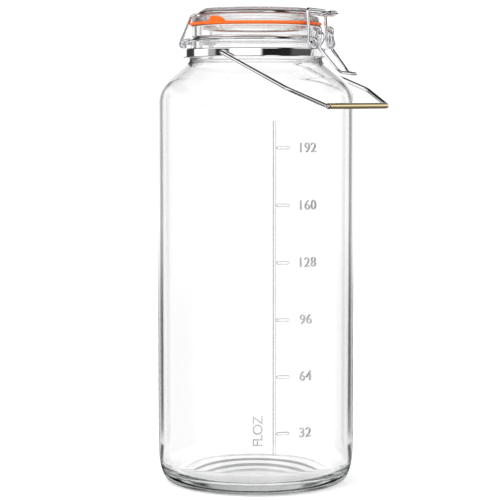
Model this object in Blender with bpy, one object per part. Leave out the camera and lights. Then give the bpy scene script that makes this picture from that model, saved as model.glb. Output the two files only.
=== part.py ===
"""Glass storage jar with a clamp-top lid, a carrying handle and a fill scale.

The jar stands on z = 0 with its axis on Z. The latch faces -Y and the lid's hinge is at +Y.
Everything is in metres; the driving dimensions below are written in millimetres times MM.
"""
import math

import bmesh
import bpy
from mathutils import Matrix, Vector

MM = 0.001

# Glass body, outside
BODY_R = 84.2 * MM
HEEL_W = 13.9 * MM
HEEL_H = 36.0 * MM
HEEL_POWER = 2.6
SHOULDER_R = 26.0 * MM
SHOULDER_Z = 326.2 * MM
CONE_DEG = 38.5
CONE_TOP = 59.4 * MM
NECK_R = 55.8 * MM
BEAD_R = 60.0 * MM
BEAD_LOW = 364.8 * MM
BEAD_HIGH = 370.0 * MM
GROOVE_R = 53.5 * MM
RIM_R = 54.8 * MM
RIM_LOW = 381.4 * MM
RIM_TOP = 390.7 * MM

# Glass body, inside
WALL = 4.0 * MM
FLOOR_Z = 6.7 * MM
FLOOR_R = 69.0 * MM
FLOOR_CORNER_H = 12.0 * MM
MOUTH_R = 48.5 * MM

# Lid and gasket
SEAT_GAP = 0.3 * MM
GASKET_THICK = 2.4 * MM
GASKET_R = 56.2 * MM
GASKET_BORE = 46.6 * MM
TAB_HALF_DEG = 8.8
TAB_HEIGHT = 4.0 * MM
TAB_FOOT = 0.5 * MM
TAB_SKEW = 0.25
TAB_INNER_R = 54.65 * MM
TAB_AZIMUTH_DEG = 169.0
FLANGE_R = 54.3 * MM
FLANGE_TOP = 398.2 * MM
BOSS_R = 48.2 * MM
BOSS_ROUND = 4.6 * MM
LID_TOP = 405.4 * MM
PLUG_R = 45.8 * MM
PLUG_BOTTOM = 386.8 * MM
RECESS_R = 39.0 * MM
RECESS_TOP = 399.6 * MM

# Steel band round the foot of the neck
BAND_R = 62.5 * MM
BAND_THICK = 0.8 * MM
BAND_LOW = 363.6 * MM
BAND_HIGH = 371.2 * MM
BAND_LIP_R = 58.2 * MM
PIN_HOLE_R = 2.15 * MM

# Wires of the clamp
WIRE_R = 1.35 * MM
EYE_R = 3.0 * MM
LID_RING_R = 50.1 * MM
LID_RING_Z = 401.1 * MM
NECK_RING_R = 55.5 * MM
NECK_RING_Z = 379.3 * MM
HINGE_Y = 60.0 * MM
HINGE_Z = 376.4 * MM
HINGE_EYE_X = 18.2 * MM
HINGE_BAR_X = 24.0 * MM
LEG_LEAN_DEG = 25.5
LEG_TOP_Z = 398.8 * MM

# Latch, seen as distance in front of the axis and height
FULCRUM_OUT = 62.9 * MM
FULCRUM_Z = 385.6 * MM
ELBOW_OUT = 61.3 * MM
ELBOW_Z = 375.7 * MM
INNER_CRANK_X = 9.7 * MM
BRACKET_X = 12.7 * MM
OUTER_CRANK_X = 15.7 * MM
BAIL_X = 18.7 * MM
ELBOW_END_X = 21.3 * MM
BAIL_OUT = 56.3 * MM
BAIL_TOP_Z = 403.4 * MM
BAIL_LOOP_R = 3.3 * MM

# Carrying handle
HANDLE_R = 1.8 * MM
HANDLE_Z = 367.4 * MM
PIN_END_X = 60.6 * MM
HANDLE_CORNER_X = 66.1 * MM
GRIP_Y = -94.6 * MM
GRIP_Z = 323.0 * MM
GRIP_R = 2.55 * MM
GRIP_BORE = 2.15 * MM
GRIP_HALF = 62.6 * MM

ROUND_STEPS = 40
RING_STEP_DEG = 10.0
SIDES = 2


def arc(centre, radius, start, end, steps):
    """Points of an arc in a plane, angles in degrees from the first axis towards the second."""
    points = []
    for index in range(steps + 1):
        angle = math.radians(start + (end - start) * index / steps)
        points.append((centre[0] + radius * math.cos(angle), centre[1] + radius * math.sin(angle)))
    return points


def heel(radius, foot, top, bottom, power, steps):
    """Points of a rounded corner from the wall at the given radius down to the foot's radius."""
    points = []
    for index in range(steps + 1):
        angle = math.pi / 2 * index / steps
        out = max(math.cos(angle), 0.0) ** (2 / power)
        down = math.sin(angle) ** (2 / power)
        points.append((foot + (radius - foot) * out, top - (top - bottom) * down))
    return points


def material(name, colour, metallic, roughness, alpha=1.0):
    """A Principled material with the given look."""
    made = bpy.data.materials.new(name)
    made.use_nodes = True
    shader = made.node_tree.nodes["Principled BSDF"]
    shader.inputs["Base Color"].default_value = (*colour, 1.0)
    shader.inputs["Metallic"].default_value = metallic
    shader.inputs["Roughness"].default_value = roughness
    shader.inputs["Alpha"].default_value = alpha
    made.diffuse_color = (*colour, alpha)
    return made


def add_mesh(name, bm, finish):
    """Make a smooth-shaded object of a bmesh."""
    mesh = bpy.data.meshes.new(name)
    bm.to_mesh(mesh)
    bm.free()
    mesh.shade_smooth()
    mesh.set_sharp_from_angle(angle=math.radians(35))
    mesh.materials.append(finish)
    obj = bpy.data.objects.new(name, mesh)
    bpy.context.scene.collection.objects.link(obj)
    return obj


def spun(profile, closed, steps=ROUND_STEPS, start=0.0, sweep=360.0):
    """Turn an outline of (radius, height) points about Z into a bmesh with outward faces."""
    bm = bmesh.new()
    turn = Matrix.Rotation(math.radians(start), 3, "Z")
    verts = [bm.verts.new(turn @ Vector((r, 0.0, z))) for r, z in profile]
    pairs = list(zip(verts, verts[1:]))
    if closed:
        pairs.append((verts[-1], verts[0]))
    edges = [bm.edges.new(pair) for pair in pairs]
    bmesh.ops.spin(bm, geom=verts + edges, cent=(0, 0, 0), axis=(0, 0, 1),
                   angle=math.radians(sweep), steps=steps, use_merge=False, use_duplicate=False)
    bmesh.ops.remove_doubles(bm, verts=bm.verts, dist=0.00001)
    bmesh.ops.recalc_face_normals(bm, faces=bm.faces)
    return bm


def rounded(points, radii, steps=3):
    """Replace each inner corner of a path with an arc of the given radius."""
    path = [Vector(points[0])]
    for index, radius in enumerate(radii, start=1):
        corner = Vector(points[index])
        back = (Vector(points[index - 1]) - corner).normalized()
        ahead = (Vector(points[index + 1]) - corner).normalized()
        half = back.angle(ahead) / 2
        if radius <= 0 or half > math.radians(89):
            path.append(corner)
            continue
        reach = radius / math.tan(half)
        centre = corner + (back + ahead).normalized() * (radius / math.sin(half))
        first = corner + back * reach - centre
        last = corner + ahead * reach - centre
        swing = first.angle(last)
        for step in range(steps + 1):
            part = step / steps
            blend = first * math.sin((1 - part) * swing) + last * math.sin(part * swing)
            path.append(centre + blend / math.sin(swing))
    path.append(Vector(points[-1]))
    return path


def ring_arc(radius, height, start, end):
    """Points round the axis, angles in degrees from +Y towards +X."""
    count = max(2, round(abs(end - start) / RING_STEP_DEG))
    points = []
    for index in range(count + 1):
        angle = math.radians(start + (end - start) * index / count)
        points.append(Vector((radius * math.sin(angle), radius * math.cos(angle), height)))
    return points


def side_arc(x, centre, radius, start, end, steps=11):
    """Points of an arc in a plane of constant x, angles in degrees from +Y towards +Z."""
    return [Vector((x, y, z)) for y, z in arc(centre, radius, start, end, steps)]


def mirrored(half):
    """Carry a path that starts at +X and ends on the middle plane over to -X."""
    other = [Vector((-p.x, p.y, p.z)) for p in reversed(half) if p.x > 0.00001]
    return list(half) + other


def wire(name, path, radius, finish, sides=SIDES):
    """A round wire along a path of points, with closed ends."""
    curve = bpy.data.curves.new(name, "CURVE")
    curve.dimensions = "3D"
    curve.twist_mode = "MINIMUM"
    curve.bevel_depth = radius
    curve.bevel_resolution = sides
    curve.use_fill_caps = True
    spline = curve.splines.new("POLY")
    spline.points.add(len(path) - 1)
    for point, place in zip(spline.points, path):
        point.co = (*place, 1.0)
    curve.materials.append(finish)
    obj = bpy.data.objects.new(name, curve)
    bpy.context.scene.collection.objects.link(obj)
    return obj


def pivot(name, place, pieces, parent=None):
    """Hang pieces on an empty that stands on their joint's axis."""
    empty = bpy.data.objects.new(name, None)
    bpy.context.scene.collection.objects.link(empty)
    place = Vector(place)
    if parent is not None:
        empty.parent = parent
        empty.location = place - parent.location
    else:
        empty.location = place
    for piece in pieces:
        piece.data.transform(Matrix.Translation(-place))
        piece.parent = empty
    return empty


def outer_outline():
    """The jar's outside from the middle of its foot up to the rim."""
    foot = BODY_R - HEEL_W
    corner = heel(BODY_R, foot, HEEL_H, 0.0, HEEL_POWER, 8)
    outline = [(0.0, 0.0)] + corner[::-1]
    shoulder = arc((BODY_R - SHOULDER_R, SHOULDER_Z), SHOULDER_R, 0, 90 - CONE_DEG, 6)
    outline += shoulder
    end_r, end_z = shoulder[-1]
    cone_top_z = end_z + (end_r - CONE_TOP) * math.tan(math.radians(CONE_DEG))
    outline += [(CONE_TOP, cone_top_z)]
    outline += [(57.4 * MM, cone_top_z + 2.1 * MM), (56.5 * MM, cone_top_z + 4.4 * MM)]
    edge = 0.6 * MM
    outline += [(BEAD_R - 3 * MM, BEAD_LOW), (BEAD_R - edge, BEAD_LOW), (BEAD_R, BEAD_LOW + edge)]
    outline += [(BEAD_R, BEAD_HIGH - edge), (BEAD_R - edge, BEAD_HIGH)]
    outline += [(NECK_R, BEAD_HIGH), (NECK_R, NECK_RING_Z - 2.3 * MM)]
    outline += [(GROOVE_R, NECK_RING_Z - 1.2 * MM), (GROOVE_R, NECK_RING_Z + 1.2 * MM)]
    outline += [(RIM_R, RIM_LOW + edge), (RIM_R, RIM_TOP - 1.4 * MM)]
    outline += [(RIM_R - 1.4 * MM, RIM_TOP)]
    return outline


def inner_outline():
    """The jar's inside from the mouth down to the middle of the floor."""
    inner_r = BODY_R - WALL
    centre = (BODY_R - SHOULDER_R, SHOULDER_Z)
    shoulder = arc(centre, SHOULDER_R - WALL, 90 - CONE_DEG, 0, 5)
    top_r, top_z = shoulder[0]
    throat = MOUTH_R + 4.0 * MM
    throat_z = top_z + (top_r - throat) * math.tan(math.radians(CONE_DEG))
    outline = [(MOUTH_R + 0.8 * MM, RIM_TOP), (MOUTH_R, RIM_TOP - 0.8 * MM)]
    outline += [(MOUTH_R, throat_z + 10.0 * MM), (MOUTH_R + 0.9 * MM, throat_z + 4.5 * MM)]
    outline += [(throat, throat_z)]
    outline += shoulder
    outline += heel(inner_r, FLOOR_R, FLOOR_Z + FLOOR_CORNER_H, FLOOR_Z, 2.2, 5)
    outline += [(0.0, FLOOR_Z)]
    return outline


def build_jar(finish):
    """The glass body, one piece with its neck, bead and rim."""
    return add_mesh("jar", spun(outer_outline() + inner_outline(), closed=False), finish)


def build_band(finish):
    """The rolled steel band, with a round hole at each side for the handle."""
    low, high, skin = BAND_LOW, BAND_HIGH, BAND_THICK
    inner = BAND_R - skin
    bend = 0.7 * MM
    profile = [(BAND_R - bend, low), (BAND_R, low + bend), (BAND_R, high - bend), (BAND_R - bend, high)]
    profile += [(BAND_LIP_R, high), (BAND_LIP_R, high - skin), (inner, high - skin)]
    profile += [(inner, low + skin), (BAND_LIP_R, low + skin), (BAND_LIP_R, low)]
    band = add_mesh("band", spun(profile, closed=True), finish)
    bm = bmesh.new()
    across = Matrix.Translation((0, 0, HANDLE_Z)) @ Matrix.Rotation(math.pi / 2, 4, "Y")
    bmesh.ops.create_cone(bm, cap_ends=True, segments=16, radius1=PIN_HOLE_R, radius2=PIN_HOLE_R,
                          depth=2.4 * BAND_R, matrix=across)
    cutter = add_mesh("pin_hole_cutter", bm, finish)
    cutter.hide_render = True
    cutter.display_type = "WIRE"
    cut = band.modifiers.new("pin holes", "BOOLEAN")
    cut.operation = "DIFFERENCE"
    cut.solver = "EXACT"
    cut.object = cutter
    return band


def build_gasket(finish):
    """The flat sealing ring with its half-round pull tab standing against the lid's edge."""
    low = RIM_TOP + SEAT_GAP
    high = low + GASKET_THICK
    lip = 0.3 * MM
    profile = [(GASKET_BORE, low), (GASKET_R - lip, low), (GASKET_R, low + lip), (GASKET_R, high - lip)]
    profile += [(GASKET_R - lip, high), (TAB_INNER_R, high), (GASKET_BORE, high)]
    tab_steps = 10
    rest = 360 - 2 * TAB_HALF_DEG
    bm = spun(profile, True, tab_steps, -TAB_HALF_DEG, 2 * TAB_HALF_DEG)
    ring = spun(profile, True, ROUND_STEPS - 4, TAB_HALF_DEG, rest)
    piece = bpy.data.meshes.new("gasket_ring")
    ring.to_mesh(piece)
    ring.free()
    bm.from_mesh(piece)
    bpy.data.meshes.remove(piece)
    bmesh.ops.remove_doubles(bm, verts=bm.verts, dist=0.00001)
    bmesh.ops.recalc_face_normals(bm, faces=bm.faces)
    raised = []
    for face in bm.faces:
        middle = face.calc_center_median()
        bearing = math.degrees(math.atan2(middle.y, middle.x))
        across = math.hypot(middle.x, middle.y)
        flat = abs(middle.z - high) < 0.00001
        if flat and abs(bearing) < TAB_HALF_DEG - 0.5 and TAB_INNER_R < across < GASKET_R - lip:
            raised.append(face)
    lifted = bmesh.ops.extrude_face_region(bm, geom=raised)["geom"]
    bmesh.ops.delete(bm, geom=raised, context="FACES_ONLY")
    for vert in (item for item in lifted if isinstance(item, bmesh.types.BMVert)):
        bearing = math.degrees(math.atan2(vert.co.y, vert.co.x))
        share = max(-1.0, min(1.0, bearing / TAB_HALF_DEG))
        share += TAB_SKEW * (1 - share ** 2)
        vert.co.z += TAB_FOOT + TAB_HEIGHT * math.sqrt(max(0.0, 1 - share ** 2))
    bmesh.ops.rotate(bm, verts=bm.verts, cent=(0, 0, 0),
                     matrix=Matrix.Rotation(math.radians(TAB_AZIMUTH_DEG), 3, "Z"))
    bmesh.ops.recalc_face_normals(bm, faces=bm.faces)
    return add_mesh("gasket", bm, finish)


def build_lid(finish):
    """The glass lid: boss, ring shoulder, flange and the plug that centres it in the mouth."""
    under = RIM_TOP + 2 * SEAT_GAP + GASKET_THICK
    edge = 1.6 * MM
    profile = [(0.0, RECESS_TOP), (RECESS_R - 3 * MM, RECESS_TOP), (RECESS_R, RECESS_TOP - 2.4 * MM)]
    profile += [(RECESS_R + 1 * MM, PLUG_BOTTOM), (PLUG_R - 2 * MM, PLUG_BOTTOM)]
    profile += [(PLUG_R, PLUG_BOTTOM + 2 * MM), (PLUG_R, under)]
    profile += [(FLANGE_R - 0.8 * MM, under), (FLANGE_R, under + 0.8 * MM)]
    profile += [(FLANGE_R, FLANGE_TOP - edge), (FLANGE_R - edge, FLANGE_TOP)]
    profile += [(BOSS_R + 1.3 * MM, FLANGE_TOP + 0.3 * MM), (BOSS_R, FLANGE_TOP + 1.6 * MM)]
    profile += arc((BOSS_R - BOSS_ROUND, LID_TOP - BOSS_ROUND), BOSS_ROUND, 0, 90, 4)
    profile += [(0.0, LID_TOP)]
    return add_mesh("lid", spun(profile, closed=False), finish)


def build_lid_wire(finish):
    """One wire: hinge eye, leg, half the lid's ring, the latch tongue, and back the same way."""
    lean = math.radians(LEG_LEAN_DEG)
    eye = side_arc(HINGE_EYE_X, (HINGE_Y, HINGE_Z), EYE_R, LEG_LEAN_DEG - 270, LEG_LEAN_DEG)
    foot = eye[-1]
    leg_y = foot.y - (LEG_TOP_Z - foot.z) * math.tan(lean)
    back = math.degrees(math.asin(HINGE_EYE_X / LID_RING_R))
    tongue_x = 14.2 * MM
    front = 180 - math.degrees(math.asin(tongue_x / LID_RING_R))
    ring = ring_arc(LID_RING_R, LID_RING_Z, back, front)
    leg = rounded([foot, (HINGE_EYE_X, leg_y, LEG_TOP_Z), ring[0], ring[1]], [2.0 * MM, 3.0 * MM])
    tongue = [ring[-2], ring[-1], (tongue_x, -57.0 * MM, 399.7 * MM), (13.2 * MM, -65.2 * MM, 398.9 * MM),
              (6.6 * MM, -72.6 * MM, 400.9 * MM), (0.0, -73.2 * MM, 401.1 * MM)]
    turns = [3.0 * MM, 8.0 * MM, 6.0 * MM, 4.0 * MM]
    half = eye[:-1] + leg + ring[2:-2] + rounded(tongue, turns)
    return wire("lid_wire", mirrored(half), WIRE_R, finish)


def build_neck_wire(finish):
    """One wire: bracket eye at the latch, half the neck's ring, and the hinge bar at the back."""
    eye_centre = (-FULCRUM_OUT, FULCRUM_Z)
    eye = side_arc(BRACKET_X, eye_centre, EYE_R, 255, 0)
    front = 180 - math.degrees(math.asin(BRACKET_X / NECK_RING_R))
    back = math.degrees(math.asin(HINGE_BAR_X / NECK_RING_R))
    ring = ring_arc(NECK_RING_R, NECK_RING_Z, front, back)
    riser_y = -FULCRUM_OUT + EYE_R
    arm = rounded([eye[-1], (BRACKET_X, riser_y, NECK_RING_Z + 0.4 * MM), ring[0], ring[1]],
                  [2.2 * MM, 3.0 * MM])
    hinge = rounded([ring[-2], ring[-1], (HINGE_BAR_X, 55.0 * MM, 378.6 * MM),
                     (HINGE_BAR_X, HINGE_Y, HINGE_Z), (0.0, HINGE_Y, HINGE_Z)],
                    [3.0 * MM, 4.0 * MM, 2.0 * MM])
    return wire("neck_wire", mirrored(eye[:-1] + arm + ring[2:-2] + hinge), WIRE_R, finish)


def build_latch_lever(finish):
    """One wire: elbow pin, outer crank, fulcrum pin, inner crank, finger arm and upturned tip."""
    path = [(ELBOW_END_X, -ELBOW_OUT, ELBOW_Z), (OUTER_CRANK_X, -ELBOW_OUT, ELBOW_Z),
            (OUTER_CRANK_X, -FULCRUM_OUT, FULCRUM_Z), (INNER_CRANK_X, -FULCRUM_OUT, FULCRUM_Z),
            (9.9 * MM, -66.7 * MM, 382.2 * MM), (10.8 * MM, -67.0 * MM, 377.0 * MM),
            (13.2 * MM, -64.2 * MM, 372.0 * MM), (10.2 * MM, -79.1 * MM, 353.9 * MM),
            (8.2 * MM, -82.1 * MM, 350.9 * MM), (3.2 * MM, -89.4 * MM, 349.8 * MM),
            (2.2 * MM, -91.5 * MM, 349.7 * MM), (0.0, -91.7 * MM, 349.7 * MM)]
    turns = [1.5, 1.5, 1.5, 4.0, 6.0, 4.0, 12.0, 4.0, 6.0, 1.2]
    return wire("latch_lever", mirrored(rounded(path, [turn * MM for turn in turns])), WIRE_R, finish)


def build_latch_bail(finish):
    """One wire: a loop round the elbow pin, an arm, and the bar that presses the tongue down."""
    loop = side_arc(BAIL_X, (-ELBOW_OUT, ELBOW_Z), BAIL_LOOP_R, 95, 360)
    path = [loop[-2], loop[-1], (BAIL_X, -BAIL_OUT, BAIL_TOP_Z), (0.0, -BAIL_OUT, BAIL_TOP_Z)]
    return wire("latch_bail", mirrored(loop[:-2] + rounded(path, [0.0, 2.2 * MM])), WIRE_R, finish)


def build_handle_wire(finish):
    """The bent wire handle, its ends turned in through the band's holes."""
    path = [(PIN_END_X, 0.0, HANDLE_Z), (66.6 * MM, 0.0, HANDLE_Z), (85.0 * MM, -68.3 * MM, 336.9 * MM),
            (HANDLE_CORNER_X, GRIP_Y, GRIP_Z), (0.0, GRIP_Y, GRIP_Z)]
    half = rounded(path, [2.6 * MM, 9.0 * MM, 2.8 * MM], steps=5)
    return wire("handle_wire", mirrored(half), HANDLE_R, finish, SIDES + 1)


def build_handle_grip(finish):
    """The tube that turns on the handle's straight stretch."""
    profile = [(GRIP_R, -GRIP_HALF), (GRIP_R, GRIP_HALF), (GRIP_BORE, GRIP_HALF), (GRIP_BORE, -GRIP_HALF)]
    bm = spun(profile, closed=True, steps=20)
    lay = Matrix.Translation((0, GRIP_Y, GRIP_Z)) @ Matrix.Rotation(math.pi / 2, 4, "Y")
    bmesh.ops.transform(bm, matrix=lay, verts=bm.verts)
    return add_mesh("handle_grip", bm, finish)


def main():
    """Clear the scene, build every piece and hang the moving ones on their axes."""
    for obj in list(bpy.data.objects):
        bpy.data.objects.remove(obj, do_unlink=True)
    glass = material("clear_glass", (0.93, 0.95, 0.95), 0.0, 0.02, 0.35)
    silicone = material("orange_silicone", (0.89, 0.11, 0.02), 0.0, 0.45)
    chrome = material("chromed_wire", (0.75, 0.76, 0.78), 1.0, 0.12)
    steel = material("polished_steel", (0.8, 0.8, 0.81), 1.0, 0.06)
    brass = material("gold_sleeve", (0.86, 0.68, 0.33), 1.0, 0.25)
    build_jar(glass)
    build_band(steel)
    build_neck_wire(chrome)
    lid = [build_lid(glass), build_gasket(silicone), build_lid_wire(chrome)]
    pivot("lid_hinge_axis", (0.0, HINGE_Y, HINGE_Z), lid)
    fulcrum = pivot("lever_axis", (0.0, -FULCRUM_OUT, FULCRUM_Z), [build_latch_lever(chrome)])
    pivot("bail_axis", (0.0, -ELBOW_OUT, ELBOW_Z), [build_latch_bail(chrome)], fulcrum)
    pivot("handle_axis", (0.0, 0.0, HANDLE_Z), [build_handle_wire(chrome), build_handle_grip(brass)])
    bpy.context.view_layer.update()


main()
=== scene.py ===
"""Dresses the clamp-top glass storage jar: glass, wires, band, seal, handle and studio.

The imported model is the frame. Every piece rides on one of its bodies and stands where its solid
stands. Lengths are in metres; MM turns a maker's millimetres into them. +Z is up, the latch
faces -Y and the lid's hinge is at +Y.
"""
from __future__ import annotations

import logging
import math
from collections.abc import Sequence
from dataclasses import dataclass, field
from enum import Enum

import bmesh
import bpy
from mathutils import Matrix, Vector

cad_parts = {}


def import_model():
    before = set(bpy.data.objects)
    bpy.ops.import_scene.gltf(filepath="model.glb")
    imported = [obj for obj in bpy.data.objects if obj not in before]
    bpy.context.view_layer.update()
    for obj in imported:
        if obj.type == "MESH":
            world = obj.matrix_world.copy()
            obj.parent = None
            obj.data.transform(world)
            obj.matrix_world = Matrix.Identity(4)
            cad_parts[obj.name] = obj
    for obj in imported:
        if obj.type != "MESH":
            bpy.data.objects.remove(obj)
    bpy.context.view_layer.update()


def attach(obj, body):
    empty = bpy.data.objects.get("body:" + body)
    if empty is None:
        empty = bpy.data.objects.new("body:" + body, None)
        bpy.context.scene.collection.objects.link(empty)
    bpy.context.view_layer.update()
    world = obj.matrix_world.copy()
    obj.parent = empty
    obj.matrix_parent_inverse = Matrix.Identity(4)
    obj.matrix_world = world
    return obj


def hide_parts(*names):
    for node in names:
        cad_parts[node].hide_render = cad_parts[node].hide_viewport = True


LOG = logging.getLogger("storage_jar")
MM = 0.001
Colour = tuple[float, float, float]
Flat = tuple[float, float]


class Body(Enum):
    """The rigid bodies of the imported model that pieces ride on."""

    JAR = "jar"
    LID = "lid"
    LEVER = "lever"
    BAIL = "bail"
    HANDLE = "handle"


class Slot(Enum):
    """The record's material slots."""

    GLASS = "clear_glass"
    SILICONE = "orange_silicone"
    WIRE = "chromed_wire"
    BAND = "polished_steel"
    SLEEVE = "gold_sleeve"


# ---- Shaders -------------------------------------------------------------------------------


def principled(name: str) -> tuple[bpy.types.Material, bpy.types.NodeTree, bpy.types.Node]:
    """Make a material with one Principled shader.

    Args:
        name: The material's name.

    Returns:
        The material, its node tree and the shader.
    """
    material = bpy.data.materials.new(name)
    material.use_nodes = True
    tree = material.node_tree
    return material, tree, tree.nodes["Principled BSDF"]


def object_noise(tree: bpy.types.NodeTree, scale: float, detail: float,
                 stretch: Colour = (1.0, 1.0, 1.0)) -> bpy.types.NodeSocket:
    """Noise on the piece's own coordinates, so it stays with the piece as it moves.

    Args:
        tree: The node tree to add to.
        scale: Noise cells a metre.
        detail: Octaves of noise.
        stretch: Scale along each axis, for streaks.

    Returns:
        The noise factor's socket.
    """
    coords = tree.nodes.new("ShaderNodeTexCoord")
    mapping = tree.nodes.new("ShaderNodeMapping")
    mapping.inputs["Scale"].default_value = stretch
    noise = tree.nodes.new("ShaderNodeTexNoise")
    noise.inputs["Scale"].default_value = scale
    noise.inputs["Detail"].default_value = detail
    tree.links.new(coords.outputs["Object"], mapping.inputs["Vector"])
    tree.links.new(mapping.outputs["Vector"], noise.inputs["Vector"])
    return noise.outputs["Fac"]


def spread(tree: bpy.types.NodeTree, source: bpy.types.NodeSocket, low: float, high: float,
           target: bpy.types.NodeSocket) -> None:
    """Map a 0.3 to 0.7 noise onto a range and plug it into a socket.

    Args:
        tree: The node tree.
        source: The noise factor.
        low: Value at the noise's low end.
        high: Value at its high end.
        target: The socket to drive.
    """
    ranged = tree.nodes.new("ShaderNodeMapRange")
    ranged.inputs["From Min"].default_value = 0.3
    ranged.inputs["From Max"].default_value = 0.7
    ranged.inputs["To Min"].default_value = low
    ranged.inputs["To Max"].default_value = high
    tree.links.new(source, ranged.inputs["Value"])
    tree.links.new(ranged.outputs["Result"], target)


def cloud(tree: bpy.types.NodeTree, shader: bpy.types.Node, cells: float, detail: float,
          first: Colour, last: Colour) -> None:
    """Let a shader's colour drift between two colours.

    Args:
        tree: The node tree.
        shader: The shader to colour.
        cells: Noise cells a metre.
        detail: Octaves of noise.
        first: Colour at the noise's low end.
        last: Colour at its high end.
    """
    ramp = tree.nodes.new("ShaderNodeValToRGB")
    for element, place, colour in zip(ramp.color_ramp.elements, (0.3, 0.7), (first, last)):
        element.position = place
        element.color = (*colour, 1.0)
    tree.links.new(object_noise(tree, cells, detail), ramp.inputs["Fac"])
    tree.links.new(ramp.outputs["Color"], shader.inputs["Base Color"])


def bump(tree: bpy.types.NodeTree, shader: bpy.types.Node, source: bpy.types.NodeSocket,
         strength: float, distance: float) -> None:
    """Let a height texture tilt a shader's normal.

    Args:
        tree: The node tree.
        shader: The shader whose normal is tilted.
        source: The height.
        strength: How much of the tilt is used.
        distance: The height's real size in metres.
    """
    node = tree.nodes.new("ShaderNodeBump")
    node.inputs["Strength"].default_value = strength
    node.inputs["Distance"].default_value = distance
    tree.links.new(source, node.inputs["Height"])
    tree.links.new(node.outputs["Normal"], shader.inputs["Normal"])


@dataclass(frozen=True)
class ClearGlass:
    """Pressed soda-lime glass: clear, faintly wavy, slightly grey where the light runs along it."""

    name: str = "clear_glass"
    ior: float = 1.5
    wave_height: float = 0.05 * MM
    wave_cells: float = 38.0
    wave_stretch: Colour = (1.0, 1.0, 0.6)
    tint: Colour = (0.2, 0.24, 0.23)
    density: float = 6.0

    def build(self) -> bpy.types.Material:
        """Build the glass with its wavy surface and its tinted inside."""
        material, tree, shader = principled(self.name)
        shader.inputs["Base Color"].default_value = (1.0, 1.0, 1.0, 1.0)
        shader.inputs["Transmission Weight"].default_value = 1.0
        shader.inputs["IOR"].default_value = self.ior
        shader.inputs["Roughness"].default_value = 0.0
        wave = object_noise(tree, self.wave_cells, 1.5, self.wave_stretch)
        bump(tree, shader, wave, 0.5, self.wave_height)
        inside = tree.nodes.new("ShaderNodeVolumeAbsorption")
        inside.inputs["Color"].default_value = (*self.tint, 1.0)
        inside.inputs["Density"].default_value = self.density
        output = tree.nodes["Material Output"]
        tree.links.new(inside.outputs["Volume"], output.inputs["Volume"])
        return material


@dataclass(frozen=True)
class ReliefPaintedShade:
    """Grey glass for the scale's relief: painted shade that stands in for the dark look where steep
    glass flanks bend the light away.
    """

    name: str = "glass_relief_painted_shade"
    ior: float = 1.5
    shade: Colour = (0.27, 0.275, 0.28)
    paler: Colour = (0.432, 0.44, 0.448)
    cells: float = 120.0
    roughness: float = 0.05

    def build(self) -> bpy.types.Material:
        """Build the grey glass of painted shade."""
        material, tree, shader = principled(self.name)
        # painted shade: the grey drifts at random between a darker and a paler tone
        cloud(tree, shader, self.cells, 2.0, self.shade, self.paler)
        shader.inputs["Transmission Weight"].default_value = 1.0
        shader.inputs["IOR"].default_value = self.ior
        shader.inputs["Roughness"].default_value = self.roughness
        return material


@dataclass(frozen=True)
class Silicone:
    """Moulded orange silicone, a little translucent, with a fine matte skin."""

    name: str = "orange_silicone"
    deep: Colour = (0.86, 0.105, 0.008)
    pale: Colour = (0.95, 0.165, 0.014)
    cells: float = 60.0
    skin_cells: float = 900.0
    roughness: Flat = (0.36, 0.52)
    specular: float = 0.2
    glow: float = 0.15
    glow_reach: Colour = (1.0, 0.4, 0.15)
    glow_depth: float = 1.2 * MM
    grain_cells: float = 2600.0
    grain_height: float = 0.04 * MM

    def build(self) -> bpy.types.Material:
        """Build the silicone."""
        material, tree, shader = principled(self.name)
        cloud(tree, shader, self.cells, 3.0, self.deep, self.pale)
        spread(tree, object_noise(tree, self.skin_cells, 2.0), *self.roughness,
               shader.inputs["Roughness"])
        shader.inputs["Specular IOR Level"].default_value = self.specular
        shader.inputs["Subsurface Weight"].default_value = self.glow
        shader.inputs["Subsurface Radius"].default_value = self.glow_reach
        shader.inputs["Subsurface Scale"].default_value = self.glow_depth
        bump(tree, shader, object_noise(tree, self.grain_cells, 2.0), 0.25, self.grain_height)
        return material


@dataclass(frozen=True)
class BrightMetal:
    """A bright metal surface with fine wear streaks that follow one direction."""

    name: str
    colour: Colour
    roughness: Flat
    streak: Colour = (1.0, 1.0, 1.0)
    grain: float = 500.0
    wear: float = 90.0
    grain_height: float = 0.01 * MM

    def build(self) -> bpy.types.Material:
        """Build the metal."""
        material, tree, shader = principled(self.name)
        shader.inputs["Base Color"].default_value = (*self.colour, 1.0)
        shader.inputs["Metallic"].default_value = 1.0
        low, high = self.roughness
        spread(tree, object_noise(tree, self.wear, 4.0, self.streak), low, high,
               shader.inputs["Roughness"])
        bump(tree, shader, object_noise(tree, self.grain, 3.0, self.streak), 0.2,
             self.grain_height)
        return material


@dataclass(frozen=True)
class StudioPaper:
    """The white sweep that the jar stands on."""

    name: str = "studio_paper"
    colour: Colour = (0.86, 0.86, 0.86)
    lit: float = 0.4

    def build(self) -> bpy.types.Material:
        """Build the paper."""
        material, tree, shader = principled(self.name)
        shader.inputs["Base Color"].default_value = (*self.colour, 1.0)
        shader.inputs["Roughness"].default_value = 0.9
        shader.inputs["Specular IOR Level"].default_value = 0.0
        shader.inputs["Emission Color"].default_value = (1.0, 1.0, 1.0, 1.0)
        shader.inputs["Emission Strength"].default_value = self.lit
        bump(tree, shader, object_noise(tree, 700.0, 2.0), 0.05, 0.02 * MM)
        return material


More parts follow.
